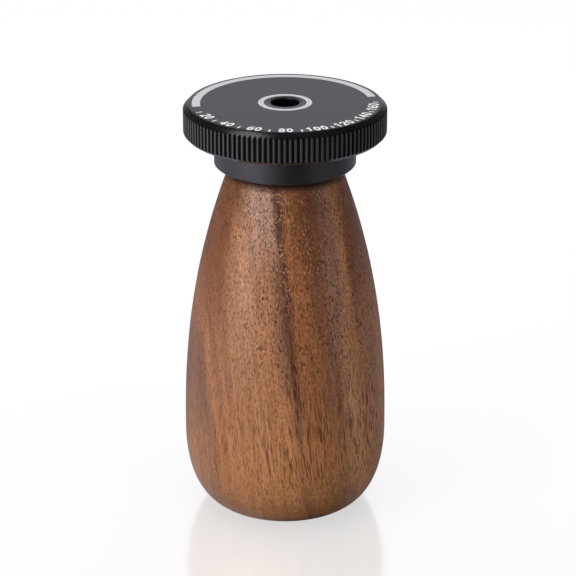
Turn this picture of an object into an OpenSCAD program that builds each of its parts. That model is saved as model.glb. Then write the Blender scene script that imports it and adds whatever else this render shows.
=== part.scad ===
// Miniature painting handle: a turned walnut grip that carries a knurled turntable on a ball bearing.
// Millimetres, Z up. The origin is the centre of the foot, on the surface that the handle stands on.

/* [Walnut grip] */
// Height of the wooden grip
grip_h = 78; // [60:0.5:110]
// Diameter of the flat that it stands on
foot_d = 24; // [14:0.5:32]
// Largest diameter
belly_d = 43.8; // [38:0.1:54]
// Height of the largest diameter above the foot
belly_z = 17.9; // [12:0.1:30]
// Diameter at the top, where the collar seats
neck_d = 23.3; // [22:0.1:30]
// Fullness of the curve from foot to belly, where 2 is a quarter ellipse
belly_power = 2.28; // [1.6:0.02:3]
// How late the flank draws in towards the neck, where 2 is a parabola
flank_power = 2.23; // [1.6:0.01:3]

/* [Threaded insert] */
// Outer diameter of the brass insert
insert_d = 19; // [18:0.1:20]
// Length of the insert
insert_l = 10; // [8:0.1:14]
// Depth of its top below the end of the wood
insert_sink = 0.2; // [0.1:0.05:0.5]
// Diameter of the thread that holds the collar
thread_d = 16; // [15.4:0.1:17]
// Room for glue around and below the insert
glue_gap = 0.1; // [0.05:0.01:0.2]
// Depth of the glue grooves round the insert
glue_groove_depth = 0.4; // [0.2:0.05:0.6]
// Height of each glue groove
glue_groove_w = 1.2; // [0.8:0.1:1.6]
// Number of glue grooves
glue_grooves = 3; // [1:1:4]
// Width of the driver slot in the insert's top
driver_slot_w = 2; // [1.2:0.1:3]
// Depth of the driver slot
driver_slot_depth = 1.4; // [0.8:0.1:2]

/* [Collar] */
// Outer diameter of the collar
collar_d = 30.1; // [26:0.1:34]
// Thickness of the floor that the bearing seats on
collar_floor = 1.5; // [1:0.1:2.5]
// How far the collar's rim reaches up into the turntable
collar_cover = 1.5; // [0.5:0.1:2.5]
// Chamfer on the collar's outer edges
collar_chamfer = 0.3; // [0.1:0.05:0.6]
// Length of the threaded spigot below the collar
spigot_l = 9.2; // [6:0.1:9.6]
// Chamfer at the spigot's end
spigot_chamfer = 0.5; // [0.2:0.05:0.8]
// Height of the relief groove under the collar's seat
relief_h = 1.2; // [0.6:0.1:2]
// Depth of the relief groove
relief_depth = 0.4; // [0.2:0.05:0.6]
// Depth of the step that keeps the floor clear of the inner ring
floor_step = 0.4; // [0.2:0.05:0.8]

/* [Bearing] */
// Bore of the bearing
bearing_bore_d = 10; // [9.6:0.1:10.4]
// Outer diameter of the bearing
bearing_d = 19; // [18.4:0.1:19.6]
// Width of the bearing
bearing_w = 5; // [4.5:0.1:6]
// Thickness of each ring at its shoulder
ring_wall = 1.3; // [1.1:0.05:1.5]
// Corner chamfer of the rings
ring_chamfer = 0.25; // [0.1:0.05:0.4]
// Diameter of a ball
ball_d = 2.38; // [2.1:0.02:2.6]
// Number of balls
ball_count = 11; // [7:1:12]
// Running gap between ball and race
race_gap = 0.05; // [0.02:0.01:0.08]
// Thickness of a shield
shield_t = 0.3; // [0.2:0.05:0.4]
// Depth of a shield below the face of the rings
shield_inset = 0.2; // [0.1:0.05:0.3]
// Width of the step in the outer ring that holds a shield
shield_lip = 0.35; // [0.2:0.05:0.5]
// Running gap between a shield and the inner ring
shield_gap = 0.2; // [0.1:0.05:0.3]

/* [Bearing cage] */
// Gap between the cage and each ring
cage_gap = 0.25; // [0.15:0.05:0.35]
// Play of a ball in its pocket, all round
pocket_gap = 0.07; // [0.04:0.01:0.1]
// Thickness of the sheet that each half is pressed from
cage_t = 0.2; // [0.12:0.02:0.26]
// Diameter of a rivet
rivet_d = 0.5; // [0.3:0.05:0.6]
// Diameter of a rivet's heads
rivet_head_d = 0.8; // [0.6:0.05:1]
// Height of a rivet's heads
rivet_head_h = 0.15; // [0.1:0.05:0.3]
// Radial room of a rivet in its hole
rivet_gap = 0.02; // [0.01:0.01:0.04]

/* [Lock ring] */
// Outer diameter of the ring that holds the bearing in the collar
lock_ring_d = 21; // [20.4:0.1:23]
// Thickness of the lock ring
lock_ring_h = 1.2; // [0.8:0.1:1.6]
// Depth of the lock ring below the collar's rim
lock_ring_sink = 0.3; // [0.1:0.05:0.6]
// Width of its seat on the bearing's outer ring
lock_ring_seat = 0.9; // [0.6:0.05:1.1]
// Diameter of its two spanner holes
spanner_hole_d = 0.9; // [0.6:0.05:1.1]

/* [Turntable] */
// Diameter of the turntable over the knurl
table_d = 43; // [38:0.1:60]
// Thickness of the turntable's rim
table_h = 6.8; // [5:0.1:10]
// Chamfer on the upper edge
top_chamfer = 1.15; // [0.6:0.05:1.6]
// Width of the broken edge between the face and its chamfers
edge_break = 0.1; // [0.05:0.01:0.15]
// Chamfer on the lower edge
low_chamfer = 0.8; // [0.5:0.05:1.2]
// Number of grooves in the knurl
knurl_count = 120; // [90:1:140]
// Depth of a knurl groove
knurl_depth = 0.48; // [0.2:0.02:0.56]
// Share of the knurl's pitch that a groove takes at the rim
knurl_share = 0.62; // [0.5:0.01:0.66]
// Share of the knurl's pitch that a groove's floor takes
knurl_floor_share = 0.1; // [0.04:0.01:0.4]
// Diameter of the centre bore
bore_d = 6; // [4:0.1:7]
// Chamfer at the mouth of the bore
bore_chamfer = 0.2; // [0.2:0.05:0.8]
// Diameter of the boss that seats on the inner ring
boss_d = 12.2; // [11.6:0.1:12.4]
// Vertical gap between the turntable and the collar's rim
head_gap = 0.4; // [0.3:0.05:0.8]
// Radial gap between the turntable's recess and the collar
rim_gap = 0.5; // [0.3:0.05:1]
// Radial fit of the hub in the bearing
hub_fit = 0.01; // [0:0.01:0.03]

/* [Hub nut and washer] */
// Diameter of the hub nut and its washer
nut_d = 12.2; // [11.6:0.1:12.4]
// Height of the hub nut
nut_h = 3; // [2:0.1:3.6]
// Thickness of the washer between nut and bearing
washer_t = 0.5; // [0.3:0.05:1]
// Length of hub that stands out below the nut
hub_tail = 0.6; // [0.2:0.1:1]
// Running gap round the nut, inside the spigot
nut_gap = 0.4; // [0.3:0.05:0.5]
// Width of the two spanner slots in the nut
nut_slot_w = 1.6; // [1:0.1:2.2]
// Depth of the spanner slots
nut_slot_depth = 1.2; // [0.6:0.1:1.6]
// Chamfer on the nut and at the hub's end
nut_chamfer = 0.3; // [0.1:0.05:0.5]
// Radial room in the threaded joints
thread_gap = 0.05; // [0.03:0.01:0.08]

/* [Engraved marks] */
// Inner diameter of the ring round the bore
ring_mark_in_d = 9; // [8.4:0.1:10]
// Outer diameter of the ring round the bore
ring_mark_out_d = 11.4; // [10.4:0.1:14]
// Inner diameter of the band near the rim
band_mark_in_d = 35.7; // [30:0.1:36]
// Outer diameter of the band near the rim
band_mark_out_d = 39.2; // [36.4:0.1:40]
// Angle where the band starts
band_start = 12; // [0:1:60]
// Angle where the band ends
band_end = 189; // [130:1:240]
// Depth of the marks
mark_depth = 0.1; // [0.05:0.01:0.2]

/* [Hidden] */
$fn = 128;
// Overrun of every cut
over = 0.5;
// Overrun of the knurl's outline past the rim, short enough that neighbouring grooves don't cross
knurl_over = 0.1;
// Straight stretches that each curve of the grip is drawn with
belly_steps = 26;
flank_steps = 26;

// Heights, from the foot up
insert_top_z = grip_h - insert_sink;
insert_low_z = insert_top_z - insert_l;
socket_z = insert_low_z - glue_gap;
bearing_z = grip_h + collar_floor;
bearing_mid_z = bearing_z + bearing_w / 2;
lock_ring_z = bearing_z + bearing_w;
collar_top_z = lock_ring_z + lock_ring_h + lock_ring_sink;
table_low_z = collar_top_z - collar_cover;
table_top_z = table_low_z + table_h;
recess_z = collar_top_z + head_gap;
washer_z = bearing_z - washer_t;
nut_z = washer_z - nut_h;
hub_low_z = nut_z - hub_tail;

// Radii
inner_shoulder_r = bearing_bore_d / 2 + ring_wall;
outer_shoulder_r = bearing_d / 2 - ring_wall;
pitch_r = (inner_shoulder_r + outer_shoulder_r) / 2;
race_r = ball_d / 2 + race_gap;
shield_out_r = outer_shoulder_r + shield_lip;
shield_in_r = inner_shoulder_r + shield_gap;
hub_r = bearing_bore_d / 2 - hub_fit;
hub_hole_r = hub_r + thread_gap;
spigot_r = thread_d / 2 - thread_gap;
spigot_bore_r = nut_d / 2 + nut_gap;
recess_r = collar_d / 2 + rim_gap;
lock_ring_in_r = bearing_d / 2 - lock_ring_seat;

// A tube on the Z axis between two heights
module tube(out_r, in_r, low, high) {
    translate([0, 0, low])
        difference() {
            cylinder(h = high - low, r = out_r);
            translate([0, 0, -over])
                cylinder(h = high - low + 2 * over, r = in_r);
        }
}

// Half outline of the grip: a full curve from foot to belly, then a long flank to the neck
function grip_outline() = concat(
    [[0, 0]],
    [for (i = [0 : belly_steps])
        let (a = 90 * i / belly_steps, p = 2 / belly_power)
        [(foot_d + (belly_d - foot_d) * pow(sin(a), p)) / 2, belly_z * (1 - pow(cos(a), p))]],
    [for (i = [1 : flank_steps])
        let (u = i / flank_steps)
        [(belly_d - (belly_d - neck_d) * pow(u, flank_power)) / 2, belly_z + (grip_h - belly_z) * u]],
    [[0, grip_h]]
);

module walnut_grip() {
    color("#7d5138")
        difference() {
            rotate_extrude()
                polygon(grip_outline());
            translate([0, 0, socket_z])
                cylinder(h = grip_h - socket_z + over, d = insert_d + 2 * glue_gap);
        }
}

module threaded_insert() {
    groove_pitch = insert_l / (glue_grooves + 1);
    color("#b9975a")
        difference() {
            tube(insert_d / 2, thread_d / 2, insert_low_z, insert_top_z);
            for (i = [1 : glue_grooves])
                tube(insert_d / 2 + over, insert_d / 2 - glue_groove_depth,
                    insert_low_z + i * groove_pitch - glue_groove_w / 2,
                    insert_low_z + i * groove_pitch + glue_groove_w / 2);
            translate([-insert_d, -driver_slot_w / 2, insert_top_z - driver_slot_depth])
                cube([2 * insert_d, driver_slot_w, driver_slot_depth + over]);
        }
}

// Half outline of the collar and its spigot, solid to the axis
function collar_outline() = [
    [0, grip_h - spigot_l],
    [spigot_r - spigot_chamfer, grip_h - spigot_l],
    [spigot_r, grip_h - spigot_l + spigot_chamfer],
    [spigot_r, grip_h - relief_h - relief_depth],
    [spigot_r - relief_depth, grip_h - relief_h],
    [spigot_r - relief_depth, grip_h],
    [collar_d / 2 - collar_chamfer, grip_h],
    [collar_d / 2, grip_h + collar_chamfer],
    [collar_d / 2, collar_top_z - collar_chamfer],
    [collar_d / 2 - collar_chamfer, collar_top_z],
    [0, collar_top_z]
];

module collar() {
    color("#37363a")
        difference() {
            rotate_extrude()
                polygon(collar_outline());
            translate([0, 0, grip_h - spigot_l - over])
                cylinder(h = spigot_l + collar_floor + 2 * over, r = spigot_bore_r);
            translate([0, 0, bearing_z - floor_step])
                cylinder(h = floor_step + over, r = outer_shoulder_r);
            translate([0, 0, bearing_z])
                cylinder(h = collar_top_z - bearing_z + over, d = bearing_d);
            translate([0, 0, lock_ring_z])
                cylinder(h = collar_top_z - lock_ring_z + over, r = lock_ring_d / 2 + thread_gap);
        }
}

// Half section of a bearing ring about its mid height, with chamfered corners
module ring_section(in_r, out_r) {
    half = bearing_w / 2;
    polygon([
        [in_r + ring_chamfer, -half], [out_r - ring_chamfer, -half],
        [out_r, -half + ring_chamfer], [out_r, half - ring_chamfer],
        [out_r - ring_chamfer, half], [in_r + ring_chamfer, half],
        [in_r, half - ring_chamfer], [in_r, -half + ring_chamfer]
    ]);
}

module bearing_inner_ring() {
    color("#b7b9bd")
        translate([0, 0, bearing_mid_z])
            rotate_extrude()
                difference() {
                    ring_section(bearing_bore_d / 2, inner_shoulder_r);
                    translate([pitch_r, 0])
                        circle(r = race_r);
                }
}

module bearing_outer_ring() {
    step_h = shield_inset + shield_t;
    color("#b7b9bd")
        translate([0, 0, bearing_mid_z])
            rotate_extrude()
                difference() {
                    ring_section(outer_shoulder_r, bearing_d / 2);
                    translate([pitch_r, 0])
                        circle(r = race_r);
                    for (side = [-1, 1])
                        translate([0, side * (bearing_w / 2 - step_h / 2 + over / 2)])
                            square([2 * shield_out_r, step_h + over], center = true);
                }
}

// One copy for each ball, on the pitch circle at the bearing's mid height; turn 0.5 puts it between two balls
module on_pitch_circle(turn = 0) {
    for (i = [0 : ball_count - 1])
        rotate([0, 0, 360 * (i + turn) / ball_count])
            translate([pitch_r, 0, bearing_mid_z])
                children();
}

module bearing_balls() {
    color("#dcdee2")
        on_pitch_circle()
            sphere(d = ball_d);
}

// Upper half of the cage: flat lands between the balls and a pressed cup over each ball
module cage_half() {
    cup_r = ball_d / 2 + pocket_gap;
    difference() {
        intersection() {
            tube(outer_shoulder_r - cage_gap, inner_shoulder_r + cage_gap,
                bearing_mid_z, bearing_mid_z + cup_r + 2 * cage_t);
            union() {
                translate([0, 0, bearing_mid_z])
                    cylinder(h = cage_t, r = outer_shoulder_r);
                on_pitch_circle()
                    sphere(r = cup_r + cage_t);
            }
        }
        on_pitch_circle()
            sphere(r = cup_r);
        on_pitch_circle(0.5)
            cylinder(h = 4 * cage_t, r = rivet_d / 2 + rivet_gap, center = true);
    }
}

module upper_cage_half() {
    color("#a9abb0")
        cage_half();
}

module lower_cage_half() {
    color("#a9abb0")
        translate([0, 0, 2 * bearing_mid_z])
            mirror([0, 0, 1])
                cage_half();
}

module cage_rivets() {
    color("#dcdee2")
        on_pitch_circle(0.5) {
            cylinder(h = 2 * cage_t, d = rivet_d, center = true);
            for (side = [0, 1])
                mirror([0, 0, side])
                    translate([0, 0, cage_t])
                        cylinder(h = rivet_head_h, d = rivet_head_d);
        }
}

module lower_shield() {
    color("#9da0a5")
        tube(shield_out_r, shield_in_r, bearing_z + shield_inset, bearing_z + shield_inset + shield_t);
}

module upper_shield() {
    color("#9da0a5")
        tube(shield_out_r, shield_in_r, lock_ring_z - shield_inset - shield_t, lock_ring_z - shield_inset);
}

module lock_ring() {
    color("#37363a")
        difference() {
            tube(lock_ring_d / 2, lock_ring_in_r, lock_ring_z, lock_ring_z + lock_ring_h);
            for (side = [0, 180])
                rotate([0, 0, side])
                    translate([(lock_ring_d / 2 + lock_ring_in_r) / 2, 0, lock_ring_z - over])
                        cylinder(h = lock_ring_h + 2 * over, d = spanner_hole_d, $fn = 32);
        }
}

// Half outline of the turntable: chamfered disc, recess over the collar, boss and hub
function turntable_outline() = [
    [bore_d / 2, hub_low_z],
    [hub_r - nut_chamfer, hub_low_z],
    [hub_r, hub_low_z + nut_chamfer],
    [hub_r, lock_ring_z],
    [boss_d / 2, lock_ring_z],
    [boss_d / 2, recess_z],
    [recess_r, recess_z],
    [recess_r, table_low_z],
    [table_d / 2 - low_chamfer, table_low_z],
    [table_d / 2, table_low_z + low_chamfer],
    [table_d / 2, table_top_z - top_chamfer],
    [table_d / 2 - top_chamfer + edge_break, table_top_z - edge_break],
    [table_d / 2 - top_chamfer - edge_break, table_top_z],
    [bore_d / 2 + bore_chamfer + edge_break, table_top_z],
    [bore_d / 2 + bore_chamfer - edge_break, table_top_z - edge_break],
    [bore_d / 2, table_top_z - bore_chamfer]
];

// Toothed outline of the knurl: grooves with a flat floor, whose sloping walls run on past the rim
function knurl_outline() =
    let (
        rim_r = table_d / 2,
        pitch = 2 * rim_r * sin(180 / knurl_count),
        floor_r = rim_r - knurl_depth,
        floor_w = pitch * knurl_floor_share / 2,
        rim_w = pitch * knurl_share / 2,
        far_r = rim_r + knurl_over,
        far_w = rim_w + (rim_w - floor_w) * knurl_over / knurl_depth,
        groove = [[far_r, -far_w], [floor_r, -floor_w], [floor_r, floor_w], [far_r, far_w]]
    )
    [for (i = [0 : knurl_count - 1], p = groove)
        let (a = 360 * (i + 0.5) / knurl_count)
        [p[0] * cos(a) - p[1] * sin(a), p[0] * sin(a) + p[1] * cos(a)]];

// The band's sector, as a wedge that reaches past the rim
function band_sector() = concat(
    [[0, 0]],
    [for (i = [0 : 6])
        let (a = band_start + (band_end - band_start) * i / 6)
        [table_d * cos(a), table_d * sin(a)]]
);

module turntable() {
    floor_z = table_top_z - mark_depth;
    color("#434247")
        difference() {
            intersection() {
                rotate_extrude()
                    polygon(turntable_outline());
                translate([0, 0, hub_low_z - over])
                    linear_extrude(height = table_top_z - hub_low_z + 2 * over)
                        polygon(knurl_outline());
            }
            tube(ring_mark_out_d / 2, ring_mark_in_d / 2, floor_z, table_top_z + over);
            intersection() {
                tube(band_mark_out_d / 2, band_mark_in_d / 2, floor_z, table_top_z + over);
                translate([0, 0, floor_z - over])
                    linear_extrude(height = mark_depth + 3 * over)
                        polygon(band_sector());
            }
        }
}

module hub_washer() {
    color("#b7b9bd")
        tube(nut_d / 2, hub_hole_r, washer_z, bearing_z);
}

module hub_nut() {
    color("#9da0a5")
        difference() {
            translate([0, 0, nut_z])
                rotate_extrude()
                    polygon([
                        [hub_hole_r, 0], [nut_d / 2 - nut_chamfer, 0], [nut_d / 2, nut_chamfer],
                        [nut_d / 2, nut_h], [hub_hole_r, nut_h]
                    ]);
            translate([-nut_d, -nut_slot_w / 2, nut_z - over])
                cube([2 * nut_d, nut_slot_w, nut_slot_depth + over]);
        }
}

walnut_grip();
threaded_insert();
collar();
bearing_outer_ring();
bearing_inner_ring();
bearing_balls();
lower_cage_half();
upper_cage_half();
cage_rivets();
lower_shield();
upper_shield();
lock_ring();
turntable();
hub_washer();
hub_nut();
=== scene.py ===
import math

import bmesh
import bpy
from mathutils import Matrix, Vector
from mathutils.geometry import delaunay_2d_cdt


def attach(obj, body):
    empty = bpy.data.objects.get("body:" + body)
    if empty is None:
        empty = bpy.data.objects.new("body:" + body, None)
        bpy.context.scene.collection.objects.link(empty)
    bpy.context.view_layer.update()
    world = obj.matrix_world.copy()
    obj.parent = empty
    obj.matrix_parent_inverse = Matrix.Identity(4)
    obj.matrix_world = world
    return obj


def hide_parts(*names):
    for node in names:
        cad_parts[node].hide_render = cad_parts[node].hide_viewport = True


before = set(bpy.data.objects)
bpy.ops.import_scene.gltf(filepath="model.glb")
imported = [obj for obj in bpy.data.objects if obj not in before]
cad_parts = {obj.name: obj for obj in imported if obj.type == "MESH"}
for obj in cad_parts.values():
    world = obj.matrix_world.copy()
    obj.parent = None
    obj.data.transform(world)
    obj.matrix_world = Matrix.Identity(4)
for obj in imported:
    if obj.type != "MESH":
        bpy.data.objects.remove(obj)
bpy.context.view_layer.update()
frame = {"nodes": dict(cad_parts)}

MM = 0.001
PER_MM = 1000.0

# Camera, as fitted to the photograph
CAMERA_SIDE = 0.62 * MM
CAMERA_BACK = 510.8 * MM
CAMERA_HEIGHT = 254.7 * MM
CAMERA_PITCH = math.radians(21.91)
CAMERA_LENS = 159.2
CAMERA_SENSOR = 36.0
CAMERA_REACH = (0.01, 10.0)

# Turntable: half outline in millimetres, apart from the knurled rim
TABLE_R = 21.5
UPPER_CHAMFER_FOOT = 90.15
LOWER_CHAMFER_FOOT = 85.3
BORE_SIDE = [(3.3, 91.3), (3.1, 91.2), (3.0, 91.1), (3.0, 75.4)]
UNDERSIDE = [
    (4.69, 75.4), (4.99, 75.7), (4.99, 84.5), (6.1, 84.5), (6.1, 86.4), (15.55, 86.4), (15.55, 84.5)
]
RIM_FOOT = (20.7, 84.5)
RIM_TOP = [(20.45, 91.2), (20.25, 91.3)]
SHARP_ANGLE = math.radians(38)

# Knurl: half of one groove, in degrees from its middle and millimetres of depth, and how many degrees
# from its middle the walls get the painted shade
KNURL_COUNT = 120
GROOVE = [(0.15, 0.48), (0.5, 0.265), (0.85, 0.08), (1.0, 0.038), (1.15, 0.015), (1.3, 0.003)]
GROOVE_HALF = 0.9

# Marks on the turntable's face, in millimetres and degrees: the ring and the band that the CAD model
# engraves, and a plain degree scale over the open part of the band's circle
FACE_Z = 91.3
MARK_DEPTH = 0.1
MARK_SINK = 0.02
RING_RADII = (4.5, 5.7)
RING_STEPS = 240
BAND_RADII = (17.85, 19.6)
BAND_ANGLES = (12.0, 189.0)
BAND_STEPS = 177
SCALE_START = 190.5
SCALE_STEP = 20
SCALE_LAST = 160
DIGIT_RADIUS = 18.6
DIGIT_HEIGHT = 2.35
DIGIT_ADVANCE = 1.62
PEN_WIDTH = 0.48
PEN_DOT_STEPS = 24
TICK_RADIUS = 19.05
TICK_LENGTH = 1.3
TICK_WIDTH = 0.4

# Floor: its radius in metres, its share of mirroring and the blur of it, its own glow, and how white it
# is in the light that it gives back and where it is seen
FLOOR_RADIUS = 3.0
FLOOR_SIDES = 128
FLOOR_MIRROR = 0.43
FLOOR_BLUR = 0.16
FLOOR_GLOW = 1.08
FLOOR_WHITE = 0.8
FLOOR_WHITE_SEEN = 0.26

# How bright the floor looks in the polished parts: degrees round the handle, with 0 on the
# photographed side and 90 on its right, and the level. The room is dark just to the right of 0.
MIRRORED_FLOOR = [
    (-180, 0.3), (-150, 0.34), (-115, 0.54), (-85, 0.7), (-50, 0.55), (-28, 0.52), (-10, 0.2), (5, 0.07),
    (35, 0.07), (60, 0.25), (100, 0.24), (130, 0.35), (180, 0.35)
]
MIRRORED_TINT = (0.98, 0.97, 1.08)

# World: how the level of the wall that polished parts mirror changes along Y, Z and X (from, to, and the
# level at each), its tint, and the strengths of the plain grey room
WALL_BEHIND = (-0.4, 0.6, 0.07, 0.66)
WALL_TOP = (0.3, 0.85, 1.0, 0.03)
WALL_SIDES = (0.15, 0.5, 1.0, 0.1)
WALL_TINT = (1.0, 0.96, 1.05)
AMBIENT_STRENGTH = 0.5
SEEN_STRENGTH = 1.0

# Lamps: place, width and height in metres, and power in watts; all are turned to the same target
LAMP_TARGET = (0.0, 0.0, 0.05)
LAMPS = {
    "left_softbox": ((-0.389, -0.315, 0.15), (0.3, 0.24), 1.5),
    "high_left_softbox": ((-0.26, -0.08, 0.62), (0.24, 0.24), 0.33),
    "right_strip": ((0.36, -0.34, 0.2), (0.09, 0.5), 0.3),
    "top_fill": ((0.0, 0.0, 0.8), (0.7, 0.7), 3.0)
}

# Range in which most values of a noise lie
NOISE_RANGE = (0.3, 0.7)

# Pores: where their soft edge starts and ends, as shares of their size, and the random numbers, from 0
# to 1, between which a pore goes from left out to whole
PORE_EDGE = (0.78, 1.08)
PORE_CHANCE = (0.25, 0.4)


class Value:
    """A number that a node gives; arithmetic with it adds the nodes that work out the result."""

    def __init__(self, nodes, socket):
        self.nodes = nodes
        self.socket = socket

    def __add__(self, other):
        return self.nodes.math("ADD", self, other)

    def __sub__(self, other):
        return self.nodes.math("SUBTRACT", self, other)

    def __rsub__(self, other):
        return self.nodes.math("SUBTRACT", other, self)

    def __mul__(self, other):
        return self.nodes.math("MULTIPLY", self, other)

    def __neg__(self):
        return self * -1.0

    def __abs__(self):
        return self.nodes.math("ABSOLUTE", self)

    def max(self, other):
        return self.nodes.math("MAXIMUM", self, other)


class Nodes:
    """A node tree, with a short call for each kind of node."""

    def __init__(self, tree):
        self.tree = tree
        tree.nodes.clear()

    def node(self, kind, inputs=None, **settings):
        node = self.tree.nodes.new(kind)
        for key, value in settings.items():
            setattr(node, key, value)
        for key, value in (inputs or {}).items():
            self.feed(node.inputs[key], value)
        return node

    def shader(self, kind, inputs=None):
        return self.node(kind, inputs).outputs[0]

    def feed(self, socket, value):
        if isinstance(value, Value):
            value = value.socket
        if isinstance(value, bpy.types.NodeSocket):
            self.tree.links.new(value, socket)
        elif isinstance(value, tuple) and len(value) == 3 and socket.type == "RGBA":
            socket.default_value = (*value, 1.0)
        else:
            socket.default_value = value

    def math(self, operation, a, b=0.0, clamp=False):
        node = self.node("ShaderNodeMath", {0: a, 1: b}, operation=operation, use_clamp=clamp)
        return Value(self, node.outputs[0])

    def vector(self, operation, a, b):
        node = self.node("ShaderNodeVectorMath", {0: a, 1: b}, operation=operation)
        return node.outputs["Vector"]

    def scaled(self, vector, scale):
        return self.vector("MULTIPLY", vector, scale)

    def split(self, vector):
        return [Value(self, socket) for socket in self.node("ShaderNodeSeparateXYZ", {0: vector}).outputs]

    def join(self, x, y, z):
        return self.node("ShaderNodeCombineXYZ", {"X": x, "Y": y, "Z": z}).outputs[0]

    def span(self, value, low, high, to_low=0.0, to_high=1.0, smooth=True):
        """Turns the stretch from low to high into one from to_low to to_high, level beyond both ends."""
        kind = "SMOOTHSTEP" if smooth else "LINEAR"
        limits = {"From Min": low, "From Max": high, "To Min": to_low, "To Max": to_high}
        node = self.node("ShaderNodeMapRange", {"Value": value, **limits}, interpolation_type=kind)
        return Value(self, node.outputs[0])

    def ramp(self, value, stops, interpolation="LINEAR"):
        node = self.node("ShaderNodeValToRGB", {"Fac": value})
        ramp = node.color_ramp
        ramp.interpolation = interpolation
        while len(ramp.elements) < len(stops):
            ramp.elements.new(0.5)
        for element, (position, colour) in zip(ramp.elements, stops):
            element.position = position
            element.color = (*colour, 1.0)
        return node.outputs["Color"]


class Shader(Nodes):
    """A material with one surface; mm is the place on the piece in millimetres."""

    def __init__(self, name, settings):
        self.material = bpy.data.materials.new(name)
        self.material.use_nodes = True
        super().__init__(self.material.node_tree)
        self.surface = self.node("ShaderNodeBsdfPrincipled", settings)
        self.node("ShaderNodeOutputMaterial", {"Surface": self.surface.outputs["BSDF"]})
        position = self.node("ShaderNodeTexCoord").outputs["Object"]
        self.mm = self.scaled(position, (PER_MM, PER_MM, PER_MM))

    def set(self, **values):
        """Feeds the surface's sockets; an underscore stands for a space."""
        for key, value in values.items():
            self.feed(self.surface.inputs[key.replace("_", " ")], value)

    def from_axis(self):
        """Millimetres from the handle's axis."""
        x, y, _ = self.split(self.mm)
        return self.math("SQRT", x * x + y * y)

    def noise(self, vector, scale, detail, rough):
        values = {"Vector": vector, "Scale": scale, "Detail": detail, "Roughness": rough}
        return Value(self, self.node("ShaderNodeTexNoise", values).outputs["Fac"])

    def vary(self, noise, low, high):
        """Goes from low to high with a noise."""
        return self.span(noise, *NOISE_RANGE, low, high)

    def pores(self, vector, scale, stretch, size):
        """1 inside scattered pores that are drawn out along Z, and 0 between them; a third are left out."""
        drawn_out = self.scaled(vector, (1.0, 1.0, stretch))
        cells = self.node("ShaderNodeTexVoronoi", {"Vector": drawn_out, "Scale": scale, "Randomness": 1.0})
        distance = Value(self, cells.outputs["Distance"])
        chance = self.split(cells.outputs["Color"])[0]
        inner, outer = PORE_EDGE
        return self.span(distance, size * inner, size * outer, 1.0, 0.0) * self.span(chance, *PORE_CHANCE)

    def mix(self, factor, a, b):
        """Gives a where the factor is 0 and b where it is 1; a mix of colours takes sockets 0, 6 and 7."""
        node = self.node("ShaderNodeMix", data_type="RGBA", blend_type="MIX")
        for socket, value in ((0, factor), (6, a), (7, b)):
            self.feed(node.inputs[socket], value)
        return node.outputs[2]

    def shaded(self, colour, factor):
        return self.vector("MULTIPLY", colour, self.join(factor, factor, factor))

    def bump(self, height, depth, strength):
        """Height is 0 to 1 and stands for depth metres."""
        node = self.node("ShaderNodeBump", {"Height": height, "Distance": depth, "Strength": strength})
        self.set(Normal=node.outputs[0])


def srgb(red, green, blue):
    """A colour as it shows on screen, from 0 to 255, turned into a linear one."""
    def linear(value):
        value /= 255
        return value / 12.92 if value <= 0.04045 else ((value + 0.055) / 1.055) ** 2.4
    return tuple(linear(v) for v in (red, green, blue))


def darker(colour, factor):
    return tuple(v * factor for v in colour)


# Walnut: colours of its growth bands, and each band's distance from the middle ring in millimetres
PALE = srgb(168, 119, 84)
LIGHT = srgb(166, 113, 76)
TAN = srgb(155, 102, 67)
ORANGE = srgb(146, 91, 53)
WORN = srgb(143, 94, 63)
DULL = srgb(136, 94, 68)
MAUVE = srgb(128, 88, 67)
BROWN = srgb(126, 80, 52)
DARK = srgb(100, 60, 40)
GROWTH_BANDS = [
    (-26.0, DULL), (-24.2, MAUVE), (-20.2, MAUVE), (-18.2, TAN), (-16.4, WORN), (-13.5, TAN), (-8.5, LIGHT),
    (-4.0, TAN), (-2.0, DULL), (-0.5, DARK), (0.3, DARK), (1.4, ORANGE), (4.6, ORANGE), (6.6, BROWN),
    (7.8, BROWN), (8.8, DULL), (11.4, PALE), (13.6, TAN), (15.6, DULL), (17.4, TAN), (20.5, ORANGE),
    (23.0, BROWN), (26.0, TAN)
]

# Walnut: where the pith lies in millimetres, how much the fibre leans, the height where it leans neither
# way, and how many millimetres the rings waver
PITH = (-100.0, -17.0)
FIBRE_LEAN = 0.11
LEAN_HEIGHT = 45.0
WAVER_REACH = 2.4

# Walnut: veils over the bands, each with its zone across the rings (start, full, last full and end), the
# heights where it starts and is full, its share and its colour
FADED_DULL = ((-7.0, -4.5, -1.8, -0.7), (44.0, 26.0), 0.75, srgb(174, 117, 76))
LEFT_VEIL = ((-8.0, -3.0, -1.3, -0.2), (57.0, 72.0), 0.72, srgb(180, 137, 118))
RIGHT_VEIL = ((7.4, 9.0, 10.6, 12.4), (34.0, 56.0), 0.6, srgb(128, 92, 77))

# Walnut: deep orange heartwood, on the left with an edge that drifts with height, and in two zones on
# the right
HEART_COLOUR = srgb(100, 50, 14)
HEART_HEIGHTS = (40.0, 66.0)
LEFT_HEART = (-10.5, -14.0)
LEFT_HEART_DRIFT = 0.38
DRIFT_HEIGHT = 60.0
RIGHT_HEART = (1.5, 6.0, 8.0, 9.6)
FAR_RIGHT_HEART = (12.4, 14.2)
LEFT_HEART_SHARE = 0.64
RIGHT_HEART_SHARE = 0.7
HEART_SHARE_ELSEWHERE = 0.06

# Walnut: the dark seam along the middle ring fades towards the foot, and the foot is warmer
SEAM_EDGE = (2.2, 0.9)
SEAM_FADES = (44.0, 16.0)
SEAM_FADE_SHARE = 0.8
FADED_SEAM = srgb(139, 91, 62)
WARM_FOOT = srgb(172, 117, 67)
WARM_FOOT_HEIGHTS = (32.0, 14.0)
WARM_FOOT_SHARE = 0.4

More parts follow.
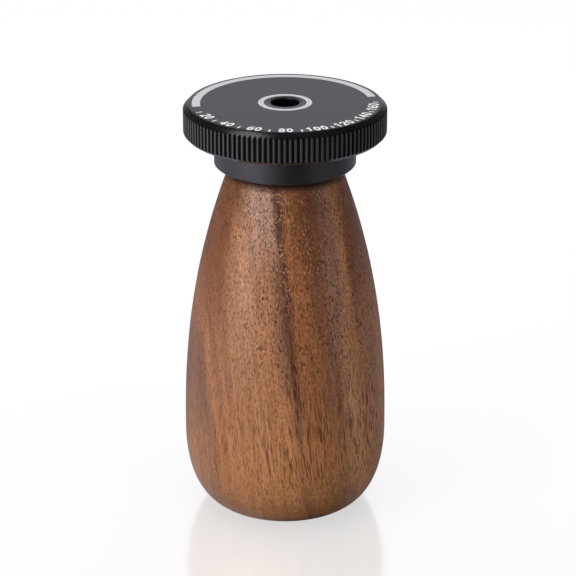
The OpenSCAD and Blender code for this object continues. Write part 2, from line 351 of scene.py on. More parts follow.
# Walnut: noises along the fibre, each with its stretch along Z, scale, detail and roughness
WAVER = (0.25, 0.16, 3.0, 0.55)
STREAKS = (0.05, 2.6, 5.0, 0.65)
SPECKS = (0.6, 3.0, 4.0, 0.85)
FLAMES = (0.14, 3.0, 4.0, 0.8)
CROWDING = (0.2, 0.45, 2.0, 0.5)

# Walnut: noises with their scale, detail and roughness, and how the stripes are drawn out along Y and Z
PATCHES = (0.3, 2.0, 0.5)
STRIPES = (0.85, 3.0, 0.6)
STRIPE_STRETCH = (0.15, 0.035)

# Walnut: the surface runs along the fibre below these heights and cuts across it above them, and
# patches shift them over so many millimetres; the grain is fainter on the left below the neck
FIBRE_IS_CUT = (26.0, 44.0)
PATCH_REACH = 50.0
FAINT_RINGS = (-14.0, -3.0, 0.62, 1.0)
FAINT_HEIGHTS = (58.0, 68.0, 0.62, 1.0)

# Walnut: how much each part of the grain darkens and lightens the wood
STREAK_RANGE = (0.25, 0.75)
MOTTLE_RANGE = (0.32, 0.68)
STRIPE_SHADES = (0.8, 1.2)
HARD_STREAKS = (0.83, 1.25)
SOFT_STREAKS = (0.8, 1.2)
SPECK_SHADES = (0.34, 1.68)
FLAME_SHADES = (0.97, 1.13)
MIDDLE_SHADE = 1.03

# Walnut: kinds of pores, each with its shift, scale, stretch along Z and size
DOTS = ((0.0, 0.0, 0.0), 1.9, 0.42, 0.38)
DASHES = ((0.0, 0.0, 0.0), 2.1, 0.075, 0.37)
SLITS = ((3.7, 8.1, 2.9), 2.7, 0.06, 0.36)
CHECKS = ((1.3, 4.4, 6.1), 1.5, 0.035, 0.2)
CRACKS = ((6.1, 2.3, 9.7), 1.9, 0.065, 0.27)
SEAM_PORES = ((5.9, 0.7, 3.3), 2.8, 0.14, 0.46)
FINE_PORES = ((0.0, 0.0, 0.0), 3.2, 0.3, 0.42)
# Painted glints: light spots laid out like pores
GLINTS = ((7.3, 3.1, 5.7), 2.4, 0.5, 0.38)

# Walnut: the rings and heights between which pores and the painted glints come in or grow fewer
SLIT_RINGS = (-6.0, 3.0, 0.5, 1.0)
CHECK_RINGS = (5.0, 8.0)
CRACK_ZONE = (-3.0, 0.5, 7.0, 10.0)
CROWDS = (0.38, 0.6, 0.5, 1.0)
FEWER_AT_FOOT = (4.0, 24.0, 0.45, 1.0)
FEWER_AT_NECK = (52.0, 70.0, 1.0, 0.8)
SEAM_PORE_EDGE = (1.2, 0.4)
SEAM_PORE_HEIGHTS = (24.0, 36.0)
GLINT_RINGS = (-2.0, 0.0)
FEWER_GLINTS = (3.0, 7.0, 1.0, 0.4)
GLINT_PATCHES = (0.38, 0.56)
GLINT_HEIGHTS = (44.0, 62.0)

# Walnut: share and colour of the fine pores, the open pores and the painted glints
FINE_PORE_TONE = (0.5, srgb(92, 46, 20))
OPEN_PORE_TONE = (0.95, srgb(78, 33, 5))
GLINT_TONE = (0.7, srgb(200, 148, 112))

# Walnut: painted shade under the collar, rougher there, and painted shade that darkens the foot near the
# floor
COLLAR_SHADE = srgb(38, 12, 1)
COLLAR_SHADE_HEIGHTS = (74.9, 76.9)
COLLAR_SHADE_ROUGHNESS = 0.5
FOOT_SHADE = (2.0, 24.0, 0.9, 1.0)
LOW_FOOT_SHADE = (0.5, 11.5, 0.66, 1.0)

# Walnut: roughness of dark and light streaks, and the relief's shares, depth and strength
WOOD_ROUGHNESS = (0.36, 0.46)
STREAK_RELIEF = 0.25
MOTTLE_RELIEF = 0.3
WOOD_RELIEF = (0.055 * MM, 0.8)


class Wood:
    """Where each point of the surface lies in the walnut; rings is in millimetres from the middle ring."""

    def __init__(self, s):
        self.s = s
        x, y, self.z = s.split(s.mm)
        across = x + (self.z - LEAN_HEIGHT) * FIBRE_LEAN
        self.fibre = s.join(across, y, self.z)
        dx = across - PITH[0]
        dy = y - PITH[1]
        waver = (self.grain(*WAVER) - 0.5) * WAVER_REACH
        self.rings = s.math("SQRT", dx * dx + dy * dy) - math.hypot(*PITH) + waver
        sheet = s.join(self.rings, y * STRIPE_STRETCH[0], self.z * STRIPE_STRETCH[1])
        self.stripes = s.noise(sheet, *STRIPES)
        self.patches = s.noise(s.mm, *PATCHES)
        self.upper = s.span(self.z + (self.patches - 0.5) * PATCH_REACH, *FIBRE_IS_CUT)
        self.lower = 1.0 - self.upper
        self.strength = self.by_ring(*FAINT_RINGS).max(self.by_height(*FAINT_HEIGHTS))

    def grain(self, stretch, scale, detail, rough):
        return self.s.noise(self.s.scaled(self.fibre, (1.0, 1.0, stretch)), scale, detail, rough)

    def pores(self, shift, scale, stretch, size):
        return self.s.pores(self.s.vector("ADD", self.fibre, shift), scale, stretch, size)

    def by_ring(self, start, full, low=0.0, high=1.0):
        return self.s.span(self.rings, start, full, low, high)

    def by_height(self, start, full, low=0.0, high=1.0):
        return self.s.span(self.z, start, full, low, high)

    def zone(self, start, full, last_full, end):
        return self.by_ring(start, full) * self.by_ring(end, last_full)

    def near_seam(self, edge):
        return self.s.span(abs(self.rings), *edge)

    def veiled(self, colour, zone, heights, share, veil):
        return self.s.mix(self.zone(*zone) * self.by_height(*heights) * share, colour, veil)


def walnut_bands(s, wood):
    """Growth bands; low down, the dark seam and the dull zone on its left fade out."""
    reach = GROWTH_BANDS[-1][0]
    stops = [(0.5 + distance / reach / 2, colour) for distance, colour in GROWTH_BANDS]
    bands = s.ramp(s.span(wood.rings, -reach, reach, smooth=False), stops)
    faded = wood.near_seam(SEAM_EDGE) * wood.by_height(*SEAM_FADES)
    bands = s.mix(faded * SEAM_FADE_SHARE, bands, FADED_SEAM)
    return wood.veiled(bands, *FADED_DULL)


def walnut_heart(s, wood, colour):
    """Towards the neck some bands are deep orange and others have a veil of mauve; the foot is warmer."""
    drift = (wood.z - DRIFT_HEIGHT).max(0.0) * LEFT_HEART_DRIFT
    left = s.span(wood.rings - drift, *LEFT_HEART)
    right = wood.zone(*RIGHT_HEART) + wood.by_ring(*FAR_RIGHT_HEART)
    amount = left * LEFT_HEART_SHARE + right * RIGHT_HEART_SHARE + HEART_SHARE_ELSEWHERE
    deep = s.math("MULTIPLY", wood.by_height(*HEART_HEIGHTS), amount, clamp=True)
    colour = s.mix(deep, colour, HEART_COLOUR)
    colour = wood.veiled(colour, *LEFT_VEIL)
    colour = wood.veiled(colour, *RIGHT_VEIL)
    return s.mix(wood.by_height(*WARM_FOOT_HEIGHTS) * WARM_FOOT_SHARE, colour, WARM_FOOT)


def walnut_streaks(s, wood, streaks):
    """Light and dark from fine streaks along the fibre, a little harder low down."""
    hard = s.span(streaks, *STREAK_RANGE, *HARD_STREAKS, smooth=False)
    soft = s.span(streaks, *STREAK_RANGE, *SOFT_STREAKS, smooth=False)
    return hard * wood.lower + soft * wood.upper


def walnut_mottle(s, wood):
    """A speckle from the cut fibre ends above, and faint flames along the fibre below."""
    specks = s.span(wood.grain(*SPECKS), *MOTTLE_RANGE, *SPECK_SHADES, smooth=False)
    flames = s.span(wood.grain(*FLAMES), *MOTTLE_RANGE, *FLAME_SHADES, smooth=False)
    mottle = specks * wood.upper + flames * wood.lower
    return (mottle - MIDDLE_SHADE) * wood.strength + MIDDLE_SHADE


def walnut_pores(s, wood):
    """Open pores: short where the surface cuts across the fibre, long where it runs along it."""
    short = wood.pores(*DOTS)
    long = wood.pores(*DASHES)
    long = long.max(wood.pores(*SLITS) * wood.by_ring(*SLIT_RINGS))
    long = long.max(wood.pores(*CHECKS) * wood.by_ring(*CHECK_RINGS))
    long = long.max(wood.pores(*CRACKS) * wood.zone(*CRACK_ZONE))
    crowd = s.span(wood.grain(*CROWDING), *CROWDS)
    crowd = crowd * wood.by_height(*FEWER_AT_FOOT) * wood.by_height(*FEWER_AT_NECK)
    pores = (short * wood.upper + long * wood.lower) * crowd * wood.strength
    in_seam = wood.near_seam(SEAM_PORE_EDGE) * wood.by_height(*SEAM_PORE_HEIGHTS)
    return pores.max(wood.pores(*SEAM_PORES) * in_seam)


def walnut_flecks(s, wood):
    """Painted glints: light flecks that stand for glints of light in the upper part, most of them just
    right of the dark seam.
    """
    where = wood.by_ring(*GLINT_RINGS) * wood.by_ring(*FEWER_GLINTS)
    where = where * s.span(wood.patches, *GLINT_PATCHES) * wood.by_height(*GLINT_HEIGHTS)
    return wood.pores(*GLINTS) * where


def make_walnut():
    s = Shader("walnut_wood", {"IOR": 1.4})
    wood = Wood(s)
    streaks = wood.grain(*STREAKS)
    mottle = walnut_mottle(s, wood)
    pores = walnut_pores(s, wood)
    stripes = s.span(wood.stripes, *NOISE_RANGE, *STRIPE_SHADES, smooth=False)

    colour = walnut_heart(s, wood, walnut_bands(s, wood))
    for shade in (stripes, walnut_streaks(s, wood, streaks), mottle):
        colour = s.shaded(colour, shade)
    tones = (
        (wood.pores(*FINE_PORES), FINE_PORE_TONE),
        (pores, OPEN_PORE_TONE),
        # painted glints of light
        (walnut_flecks(s, wood), GLINT_TONE)
    )
    for where, (share, tone) in tones:
        colour = s.mix(where * share, colour, tone)

    # Painted shade: the wood under the collar is dark and rough where the collar shades it
    collar_shade = wood.by_height(*COLLAR_SHADE_HEIGHTS)
    colour = s.mix(collar_shade, colour, COLLAR_SHADE)
    # Painted shade: the wood is darker towards the foot, most of all near the floor
    colour = s.shaded(colour, wood.by_height(*FOOT_SHADE))
    colour = s.shaded(colour, wood.by_height(*LOW_FOOT_SHADE))
    s.set(Base_Color=colour)
    s.set(Roughness=s.span(streaks, *STREAK_RANGE, *WOOD_ROUGHNESS) + collar_shade * COLLAR_SHADE_ROUGHNESS)
    s.bump(streaks * STREAK_RELIEF + mottle * MOTTLE_RELIEF - pores, *WOOD_RELIEF)
    return s.material


# Anodised parts: noises with their scale, detail and roughness
BLAST = (9.0, 3.0, 0.6)
CLOUD = (0.12, 3.0, 0.5)
WEAR = (2.0, 4.0, 0.6)

# Anodised parts: dark and light of each finish, its roughness, and its relief's depth and strength
ANODISED = ((0.005, 0.0049, 0.0058), (0.0075, 0.0073, 0.0085))
ANODISED_ROUGHNESS = (0.31, 0.38)
ANODISED_RELIEF = (0.01 * MM, 0.5)
# Painted shade in the grooves and the bore: its dark and light, roughness and relief
SHADED_BLACK = ((0.003, 0.003, 0.0034), (0.0055, 0.0054, 0.006))
SHADED_BLACK_ROUGHNESS = 0.6
SHADED_BLACK_RELIEF = (0.01 * MM, 0.4)
EDGE_METAL = ((0.012, 0.0118, 0.013), (0.022, 0.0215, 0.023))
EDGE_ROUGHNESS = (0.12, 0.2)
EDGE_RELIEF = (0.006 * MM, 0.4)

# Anodised parts: the radii and heights, in millimetres, between which the knurl's crests turn grey, and
# those between which the upper chamfer turns glossier
CREST_METAL = (0.028, 0.0272, 0.03)
CREST_RADII = (TABLE_R - 0.12, TABLE_R - 0.01)
CREST_HEIGHTS = (UPPER_CHAMFER_FOOT + 0.25, UPPER_CHAMFER_FOOT - 0.15)
CREST_SHARE = 0.75
CHAMFER_RADII = (RIM_TOP[1][0] + 0.05, RIM_TOP[0][0] - 0.05)
CHAMFER_HEIGHTS = (UPPER_CHAMFER_FOOT - 0.05, UPPER_CHAMFER_FOOT + 0.05)
CHAMFER_GLOSS = 0.12


def make_anodised():
    """Blasted and anodised aluminium, rubbed grey on the knurl's crests and glossier on the chamfer."""
    s = Shader("black_anodised_metal", {"IOR": 1.75, "Specular Tint": (0.99, 0.95, 1.0)})
    radius = s.from_axis()
    z = s.split(s.mm)[2]
    blast = s.noise(s.mm, *BLAST)
    crest = s.span(radius, *CREST_RADII) * s.span(z, *CREST_HEIGHTS)
    chamfer = s.span(radius, *CHAMFER_RADII) * s.span(z, *CHAMFER_HEIGHTS)
    base = s.mix(s.noise(s.mm, *CLOUD), *ANODISED)
    s.set(Base_Color=s.mix(crest * CREST_SHARE, base, CREST_METAL))
    s.set(Roughness=s.vary(blast, *ANODISED_ROUGHNESS) - chamfer * CHAMFER_GLOSS)
    s.bump(blast, *ANODISED_RELIEF)
    return s.material


def make_unrubbed(name, gloss):
    """The same finish with painted shade: darker and rougher deep in the knurl's grooves and inside the
    bore.
    """
    s = Shader(name, {"IOR": gloss, "Roughness": SHADED_BLACK_ROUGHNESS})
    grain = s.noise(s.mm, *BLAST)
    s.set(Base_Color=s.mix(grain, *SHADED_BLACK))
    s.bump(grain, *SHADED_BLACK_RELIEF)
    return s.material


def make_edge():
    """The lower edge of the knurl, polished by fingers, which mirrors the wood and the floor below it."""
    s = Shader("polished_edge", {"IOR": 1.85, "Specular Tint": (0.82, 0.93, 1.0)})
    wear = s.noise(s.mm, *WEAR)
    s.set(Base_Color=s.mix(wear, *EDGE_METAL))
    s.set(Roughness=s.vary(wear, *EDGE_ROUGHNESS))
    s.bump(wear, *EDGE_RELIEF)
    return s.material


# Paint: noises with their scale, detail and roughness, the relief's depth and strength, and the dark and
# light of each paint
PAINT_CLOUD = (3.0, 3.0, 0.5)
PAINT_GRAIN = (6.0, 3.0, 0.5)
PAINT_ROUGHNESS = 0.55
PAINT_RELIEF = (0.01 * MM, 0.5)
MARK_PAINT = (srgb(200, 199, 202), srgb(214, 213, 216))
NUMBER_PAINT = (srgb(236, 236, 238), srgb(246, 246, 248))


def make_paint(name, dark, light):
    s = Shader(name, {"Roughness": PAINT_ROUGHNESS})
    s.set(Base_Color=s.mix(s.noise(s.mm, *PAINT_CLOUD), dark, light))
    s.bump(s.noise(s.mm, *PAINT_GRAIN), *PAINT_RELIEF)
    return s.material


# Turned metals: colour, roughness, and the feed and depth of the lathe's lines in millimetres
RING_STEEL = ((0.62, 0.63, 0.65), 0.17, 0.05, 0.002)
BRASS = ((0.72, 0.54, 0.28), 0.24, 0.12, 0.006)
LINE_DETAIL = (3.0, 0.7)
LINE_CHANGE = (0.8, 1.2)
LINE_STRENGTH = 0.5

# Film of oil on them: its noise, the values between which it thickens, and what it does to the metal
FILM = (0.35, 3.0, 0.55)
FILM_RANGE = (0.35, 0.7)
FILM_SHADE = 0.86
FILM_DULLS = 1.3


def make_turned(name, colour, roughness, feed, depth):
    """Metal from the lathe or the ring grinder: fine lines run round the axis, one for each feed."""
    s = Shader(name, {"Metallic": 1.0})
    z = s.split(s.mm)[2]
    lines = s.noise(s.join(s.from_axis(), z, 0.0), 1.0 / feed, *LINE_DETAIL)
    film = s.noise(s.mm, *FILM)
    s.set(Base_Color=s.mix(s.span(film, *FILM_RANGE), colour, darker(colour, FILM_SHADE)))
    dulled = s.span(film, *FILM_RANGE, roughness, roughness * FILM_DULLS)
    s.set(Roughness=s.vary(lines, *LINE_CHANGE) * dulled)
    s.bump(lines, depth * MM, LINE_STRENGTH)
    return s.material


# Polished balls: colour, noise of the thin film on them, how much it darkens them, and roughness
BALL_STEEL = (0.78, 0.78, 0.80)
THIN_FILM = (0.8, 3.0, 0.5)
THIN_FILM_SHADE = 0.95
POLISHED_ROUGHNESS = (0.05, 0.09)


def make_polished(name, colour):
    s = Shader(name, {"Metallic": 1.0})
    film = s.noise(s.mm, *THIN_FILM)
    s.set(Base_Color=s.mix(film, darker(colour, THIN_FILM_SHADE), colour))
    s.set(Roughness=s.vary(film, *POLISHED_ROUGHNESS))
    return s.material


# Rolled sheet: colour, how the grain is drawn out, its noise, change of roughness and relief
SHEET_STEEL = (0.55, 0.56, 0.58)
ROLLED_STRETCH = (0.12, 1.0, 1.0)
ROLLED_GRAIN = (6.0, 4.0, 0.65)
ROLLED_CHANGE = (0.88, 1.12)
ROLLED_RELIEF = (0.004 * MM, 0.4)

# Dull spots from the press: their noise, the values between which they start, shade and roughness
PRESS_MARKS = (0.7, 3.0, 0.5)
PRESS_RANGE = (0.4, 0.7)
PRESS_SHADE = 0.85
PRESS_ROUGHNESS = (0.27, 0.38)


def make_sheet(name, colour):
    """Cold rolled sheet: faint straight grain along X, and dull spots from the press."""
    s = Shader(name, {"Metallic": 1.0})
    grain = s.noise(s.scaled(s.mm, ROLLED_STRETCH), *ROLLED_GRAIN)
    press = s.noise(s.mm, *PRESS_MARKS)
    s.set(Base_Color=s.mix(s.span(press, *PRESS_RANGE), colour, darker(colour, PRESS_SHADE)))
    s.set(Roughness=s.vary(grain, *ROLLED_CHANGE) * s.span(press, *PRESS_RANGE, *PRESS_ROUGHNESS))
    s.bump(grain, *ROLLED_RELIEF)
    return s.material


def give(objects, material):
    for o in objects:
        o.data.materials.clear()
        o.data.materials.append(material)


def link(name, data):
    piece = bpy.data.objects.new(name, data)
    bpy.context.scene.collection.objects.link(piece)
    return piece


def polar(radius, degrees):
    a = math.radians(degrees)
    return (radius * math.cos(a), radius * math.sin(a))


def circle(radius, count):
    return [polar(radius, 360 * i / count) for i in range(count)]


def bow(x, y, rx, ry, start, end, steps):
    """Points on an ellipse's arc, with angles in degrees."""
    angles = [math.radians(start + (end - start) * i / steps) for i in range(steps + 1)]
    return [(x + rx * math.cos(a), y + ry * math.sin(a)) for a in angles]


# Middle lines of plain bold digits, one unit high with the pen's width left off
DIGITS = {
    "0": [bow(0, 0, 0.2, 0.4, 0, 360, 20)],
    "1": [[(-0.16, 0.22), (0.03, 0.4), (0.03, -0.4)]],
    "2": [bow(0, 0.2, 0.19, 0.2, 165, -35, 10) + [(-0.19, -0.4), (0.2, -0.4)]],
    "3": [bow(0, 0.205, 0.18, 0.195, 160, -90, 10), bow(0, -0.195, 0.2, 0.205, 90, -160, 10)],
    "4": [[(0.09, -0.4), (0.09, 0.4), (-0.22, -0.17), (0.24, -0.17)]],
    "5": [[(0.18, 0.4), (-0.14, 0.4), (-0.17, 0.04)] + bow(-0.01, -0.15, 0.2, 0.25, 130, -140, 12)],
    "6": [bow(0.12, -0.05, 0.32, 0.45, 85, 180, 8), bow(0, -0.165, 0.2, 0.235, 0, 360, 18)],
    "7": [[(-0.2, 0.4), (0.2, 0.4), (-0.07, -0.4)]],
    "8": [bow(0, 0.205, 0.17, 0.195, 0, 360, 16), bow(0, -0.195, 0.2, 0.205, 0, 360, 18)],
    "9": [bow(-0.12, 0.05, 0.32, 0.45, -95, 0, 8), bow(0, 0.165, 0.2, 0.235, 0, 360, 18)]
}


def pen_strokes(line, width):
    """Outlines that a round pen leaves along a line: a bar for each stretch and a dot at each bend."""
    half = width / 2
    shapes = []
    for a, b in zip(line, line[1:]):
        along = (Vector(b) - Vector(a)).normalized() * half
        side = Vector((-along.y, along.x))
        corners = (Vector(a) - side, Vector(b) - side, Vector(b) + side, Vector(a) + side)
        shapes.append([tuple(c) for c in corners])
    last = 360 - 360 / PEN_DOT_STEPS
    shapes += [bow(*point, half, half, 0, last, PEN_DOT_STEPS - 1) for point in line]
    return shapes


def on_circle(points, radius, degrees):
    """Turns flat points so that their top looks at the centre, and sets them on a circle."""
    out = Vector(polar(1.0, degrees))
    right = Vector((-out.y, out.x))
    return [tuple(out * (radius - y) + right * x) for x, y in points]


class Drawing:
    """Closed outlines on the turntable's face, each with the name of the mark that it belongs to."""

    ONLY_INSIDE = 1
    MERGE_DISTANCE = 1e-5

    def __init__(self):
        self.points = []
        self.faces = []
        self.marks = []

    def outline(self, points, mark):
        self.faces.append([len(self.points) + i for i in range(len(points))])
        self.points += points
        self.marks.append(mark)

    def cut(self):
        """The points, the triangles, the marks that each triangle lies in, and where each point went."""
        flat = [Vector(p) for p in self.points]
        points, _, triangles, old_points, _, outlines = delaunay_2d_cdt(
            flat, [], self.faces, self.ONLY_INSIDE, self.MERGE_DISTANCE, True
        )
        place_of = {old: new for new, olds in enumerate(old_points) for old in olds}
        inside = [{self.marks[i] for i in ids} for ids in outlines]
        return [tuple(v) for v in points], triangles, inside, place_of


def draw_number(drawing, value):
    """A number of the scale, with its digits side by side along the circle."""
    digits = str(value)
    for i, digit in enumerate(digits):
        turn = math.degrees((i - (len(digits) - 1) / 2) * DIGIT_ADVANCE / DIGIT_RADIUS)
        for line in DIGITS[digit]:
            line = [(x * DIGIT_HEIGHT, y * DIGIT_HEIGHT) for x, y in line]
            for shape in pen_strokes(line, PEN_WIDTH):
                drawing.outline(on_circle(shape, DIGIT_RADIUS, SCALE_START + value + turn), "scale_numbers")


def draw_tick(drawing, value):
    x, y = TICK_WIDTH / 2, TICK_LENGTH / 2
    corners = [(-x, -y), (x, -y), (x, y), (-x, y)]
    drawing.outline(on_circle(corners, TICK_RADIUS, SCALE_START + value), "scale_ticks")


def draw_face(columns):
    """The face's drawing; the first outlines are its rim and the edge of its bore."""
    drawing = Drawing()
    drawing.outline([polar(RIM_TOP[-1][0], degrees) for degrees, _, _ in columns], "face")
    drawing.outline([polar(BORE_SIDE[0][0], degrees) for degrees, _, _ in columns], "bore")
    drawing.outline(circle(RING_RADII[1], RING_STEPS), "ring_mark")
    drawing.outline(circle(RING_RADII[0], RING_STEPS), "ring_hole")
    start, end = BAND_ANGLES
    steps = [start + (end - start) * i / BAND_STEPS for i in range(BAND_STEPS + 1)]
    band = [polar(BAND_RADII[1], a) for a in steps] + [polar(BAND_RADII[0], a) for a in reversed(steps)]
    drawing.outline(band, "band_mark")
    for value in range(SCALE_STEP, SCALE_LAST + 1, SCALE_STEP):
        draw_number(drawing, value)
    for value in range(SCALE_STEP // 2, SCALE_LAST + SCALE_STEP, SCALE_STEP):
        draw_tick(drawing, value)
    return drawing


def mark_of(inside):
    """The engraved mark that a triangle lies in, or None on the bare face."""
    if "ring_mark" in inside and "ring_hole" not in inside:
        return "ring_mark"
    for name in ("band_mark", "scale_numbers", "scale_ticks"):
        if name in inside:
            return name
    return None


def borders(faces):
    """The edges that only one of the faces has, each in that face's direction."""
    edges = {(f[i], f[(i + 1) % len(f)]) for f in faces for i in range(len(f))}
    return sorted((a, b) for a, b in edges if (b, a) not in edges)


def solid_mesh(name, points, faces):
    """A closed mesh from points in millimetres, with all its faces turned outwards."""
    mesh = bpy.data.meshes.new(name)
    mesh.from_pydata([tuple(c * MM for c in p) for p in points], [], faces)
    bm = bmesh.new()
    bm.from_mesh(mesh)
    bmesh.ops.recalc_face_normals(bm, faces=bm.faces)
    bm.to_mesh(mesh)
    bm.free()
    return mesh


def paint_slab(name, points, faces):
    """A closed thin slab of paint over flat faces."""
    used = sorted({i for f in faces for i in f})
    top = {old: new for new, old in enumerate(used)}
    shift = len(used)
    low = FACE_Z - MARK_DEPTH
    high = FACE_Z - MARK_SINK
    solid = [(*points[i], high) for i in used] + [(*points[i], low) for i in used]
    skin = [[top[i] for i in f] for f in faces]
    skin += [[top[i] + shift for i in reversed(f)] for f in faces]
    skin += [[top[b], top[a], top[a] + shift, top[b] + shift] for a, b in borders(faces)]
    return link(name, solid_mesh(name, solid, skin))


def knurl_columns():
    """Angles round the rim, each with the depth of the knurl there and whether a groove's wall follows."""
    pitch = 360 / KNURL_COUNT
    tooth = [(-a, depth) for a, depth in reversed(GROOVE)] + GROOVE + [(pitch / 2, 0.0)]
    ends = [a for a, _ in tooth[1:]] + [pitch + tooth[0][0]]
    columns = []
    for i in range(KNURL_COUNT):
        middle = (i + 0.5) * pitch
        for (a, depth), end in zip(tooth, ends):
            columns.append((middle + a, depth, abs(a + end) / 2 < GROOVE_HALF))
    return columns


# Finishes of the turntable, as places in its mesh's list of materials; two of them are painted shade
METAL, GROOVE_SHADE, EDGE, BORE_SHADE = range(4)


class Turntable:
    """The knurled turntable's skin: rings of points about the axis, faces, and each face's finish."""

    def __init__(self):
        self.columns = knurl_columns()
        self.points = []
        self.faces = []
        self.finishes = []

    def ring(self, section):
        """Adds a point for each column; section gives radius and height at a depth of the knurl."""
        first = len(self.points)
        for degrees, depth, _ in self.columns:
            radius, z = section(depth)
            self.points.append((*polar(radius, degrees), z))
        return range(first, len(self.points))

    def add(self, faces, finish=METAL):
        self.faces += faces
        self.finishes += [finish] * len(faces)

    def strip(self, low, high, finish=METAL, groove_finish=None):
        """Faces between two rings; the walls of the grooves may have a finish of their own."""
        in_groove = finish if groove_finish is None else groove_finish
        for i, (_, _, groove) in enumerate(self.columns):
            j = (i + 1) % len(self.columns)
            self.add([[low[i], low[j], high[j], high[i]]], in_groove if groove else finish)

    def turn(self):
        """The turned sides, from the bore over the underside to the top of the knurl."""
        sides = [self.ring(lambda depth, p=p: p) for p in BORE_SIDE[1:] + UNDERSIDE + [RIM_FOOT]]
        foot = self.ring(lambda depth: (TABLE_R - depth, LOWER_CHAMFER_FOOT - depth))
        head = self.ring(lambda depth: (TABLE_R - depth, UPPER_CHAMFER_FOOT + depth))
        bore_wall = len(BORE_SIDE) - 3
        for k, (low, high) in enumerate(zip(sides, sides[1:])):
            self.strip(low, high, BORE_SHADE if k == bore_wall else METAL)
        self.strip(sides[-1], foot, EDGE)
        self.strip(foot, head, METAL, GROOVE_SHADE)
        return sides[0], head

    def face(self, bore_edge, head):
        """The bare face and its recesses; gives the drawing's points and the triangles of each mark."""
        flat, triangles, inside, place_of = draw_face(self.columns).cut()
        base = len(self.points)
        count = len(self.columns)
        self.points += [(*p, FACE_Z) for p in flat]
        chamfer = self.ring(lambda depth: RIM_TOP[0])
        self.strip(head, chamfer)
        self.strip(chamfer, [base + place_of[i] for i in range(count)])
        self.strip([base + place_of[count + i] for i in range(count)], bore_edge)
        marks = {}
        for triangle, names in zip(triangles, inside):
            name = mark_of(names)
            if name:
                marks.setdefault(name, []).append(triangle)
            elif "bore" not in names:
                self.add([[base + i for i in triangle]])
        for cut in marks.values():
            self.engrave(flat, base, cut)
        return flat, marks

    def engrave(self, flat, base, cut):
        """A recess with a flat floor below the triangles of a mark."""
        sunk = {i: len(self.points) + n for n, i in enumerate(sorted({i for f in cut for i in f}))}
        self.points += [(*flat[i], FACE_Z - MARK_DEPTH) for i in sunk]
        self.add([[sunk[i] for i in f] for f in cut])
        self.add([[base + b, base + a, sunk[a], sunk[b]] for a, b in borders(cut)])


def make_turntable(finishes, paint, number_paint):
    """The turntable with its engraved marks, finer than the CAD model's own mesh, and their paint."""
    skin = Turntable()
    flat, marks = skin.face(*skin.turn())
    for name, cut in marks.items():
        slab = paint_slab(name, flat, cut)
        give([slab], number_paint if name.startswith("scale") else paint)
        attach(slab, "table")

    mesh = solid_mesh("knurled_turntable", skin.points, skin.faces)
    for material in finishes:
        mesh.materials.append(material)
    mesh.polygons.foreach_set("material_index", skin.finishes)
    mesh.polygons.foreach_set("use_smooth", [True] * len(mesh.polygons))
    mesh.set_sharp_from_angle(angle=SHARP_ANGLE)
    piece = link("knurled_turntable", mesh)
    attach(piece, "table")
    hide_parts("turntable")


def make_camera():
    data = bpy.data.cameras.new("photo_camera")
    data.lens = CAMERA_LENS
    data.sensor_width = CAMERA_SENSOR
    data.clip_start, data.clip_end = CAMERA_REACH
    camera = link("photo_camera", data)
    camera.location = (CAMERA_SIDE, -CAMERA_BACK, CAMERA_HEIGHT)
    camera.rotation_euler = (math.pi / 2 - CAMERA_PITCH, 0.0, 0.0)
    bpy.context.scene.camera = camera


def make_lamp(name, place, size, power):
    data = bpy.data.lights.new(name, "AREA")
    data.shape = "RECTANGLE"
    data.size, data.size_y = size
    data.energy = power
    lamp = link(name, data)
    lamp.location = place
    lamp.rotation_mode = "QUATERNION"
    lamp.rotation_quaternion = (Vector(LAMP_TARGET) - Vector(place)).to_track_quat("-Z", "Y")
    return lamp


def make_world():
    """Even grey light on the object; polished parts mirror a bright wall behind it instead."""
    world = bpy.data.worlds.new("studio")
    bpy.context.scene.world = world
    world.use_nodes = True
    n = Nodes(world.node_tree)
    path = n.node("ShaderNodeLightPath").outputs
    x, y, z = n.split(n.node("ShaderNodeTexCoord").outputs["Generated"])
    wall = n.span(y, *WALL_BEHIND) * n.span(z, *WALL_TOP) * n.span(abs(x), *WALL_SIDES)
    mirrored = n.shader("ShaderNodeBackground", {"Color": WALL_TINT, "Strength": wall})
    ambient = n.shader("ShaderNodeBackground", {"Strength": AMBIENT_STRENGTH})
    seen = n.shader("ShaderNodeBackground", {"Strength": SEEN_STRENGTH})
    unseen = n.shader("ShaderNodeMixShader", {0: path["Is Glossy Ray"], 1: ambient, 2: mirrored})
    final = n.shader("ShaderNodeMixShader", {0: path["Is Camera Ray"], 1: unseen, 2: seen})
    n.node("ShaderNodeOutputWorld", {"Surface": final})


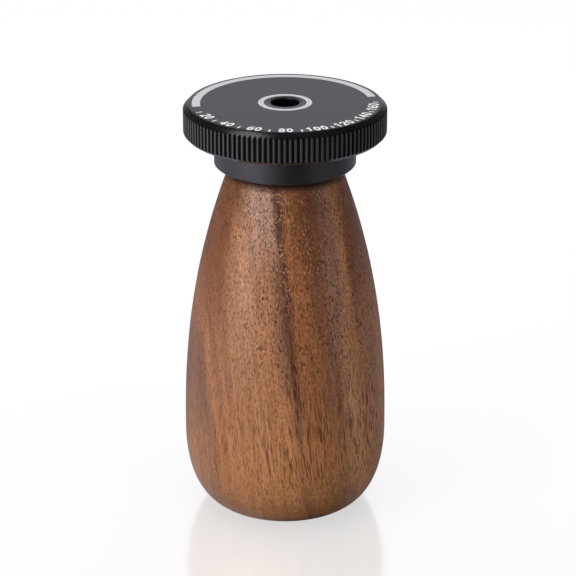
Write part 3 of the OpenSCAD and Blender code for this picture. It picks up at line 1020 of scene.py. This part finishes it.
def make_floor_material():
    """White acrylic that shows the object's shadow and a soft reflection of it; polished parts mirror
    the levels of MIRRORED_FLOOR instead, which stand for the room."""
    material = bpy.data.materials.new("white_acrylic")
    material.use_nodes = True
    n = Nodes(material.node_tree)
    path = n.node("ShaderNodeLightPath").outputs
    seen = Value(n, path["Is Camera Ray"])
    x, y, _ = n.split(n.node("ShaderNodeTexCoord").outputs["Object"])

    white = FLOOR_WHITE - seen * (FLOOR_WHITE - FLOOR_WHITE_SEEN)
    diffuse = n.shader("ShaderNodeBsdfDiffuse", {"Color": n.join(white, white, white)})
    glow = n.shader("ShaderNodeEmission", {"Color": (1.0, 1.0, 1.0), "Strength": seen * FLOOR_GLOW})
    lit = n.shader("ShaderNodeAddShader", {0: diffuse, 1: glow})
    gloss = n.shader("ShaderNodeBsdfGlossy", {"Color": (1.0, 1.0, 1.0), "Roughness": FLOOR_BLUR})
    whole = n.shader("ShaderNodeMixShader", {0: FLOOR_MIRROR, 1: lit, 2: gloss})

    direction = n.span(n.math("ARCTAN2", x, -y), -math.pi, math.pi, smooth=False)
    stops = [(0.5 + degrees / 360, darker(MIRRORED_TINT, level)) for degrees, level in MIRRORED_FLOOR]
    mirrored = n.shader("ShaderNodeEmission", {"Color": n.ramp(direction, stops, "EASE"), "Strength": 1.0})
    final = n.shader("ShaderNodeMixShader", {0: path["Is Glossy Ray"], 1: whole, 2: mirrored})
    n.node("ShaderNodeOutputMaterial", {"Surface": final})
    return material


def make_floor():
    mesh = bpy.data.meshes.new("studio_floor")
    bm = bmesh.new()
    bmesh.ops.create_circle(bm, cap_ends=True, segments=FLOOR_SIDES, radius=FLOOR_RADIUS)
    bm.to_mesh(mesh)
    bm.free()
    floor = link("studio_floor", mesh)
    give([floor], make_floor_material())


def make_light():
    """The lamps; polished parts mirror all but the fill from above."""
    lamps = {name: make_lamp(name, *settings) for name, settings in LAMPS.items()}
    lamps["top_fill"].visible_glossy = False


def dress_cad_pieces(nodes, anodised):
    """Materials for the CAD pieces, apart from the turntable."""
    give([nodes["walnut_grip"]], make_walnut())
    give([nodes[n] for n in ("collar", "lock_ring")], anodised)
    turned = ("bearing_outer_ring", "bearing_inner_ring", "hub_nut")
    give([nodes[n] for n in turned], make_turned("bearing_ring_steel", *RING_STEEL))
    give([nodes["bearing_balls"]], make_polished("polished_ball_steel", BALL_STEEL))
    cage = ("lower_cage_half", "upper_cage_half", "cage_rivets")
    flat = ("lower_shield", "upper_shield", "hub_washer")
    give([nodes[n] for n in cage + flat], make_sheet("pressed_sheet_steel", SHEET_STEEL))
    give([nodes["threaded_insert"]], make_turned("machined_brass", *BRASS))


anodised = make_anodised()
dress_cad_pieces(frame["nodes"], anodised)
# Painted shade for the knurl's grooves and the bore
groove_shade_material = make_unrubbed("groove_shade_black", 1.3)
bore_shade_black = make_unrubbed("bore_shade_black", 1.08)
paint = make_paint("white_mark_paint", *MARK_PAINT)
number_paint = make_paint("white_number_paint", *NUMBER_PAINT)
make_turntable((anodised, groove_shade_material, make_edge(), bore_shade_black), paint, number_paint)

make_camera()
make_world()
make_floor()
make_light()
bpy.context.scene.view_settings.view_transform = "Standard"
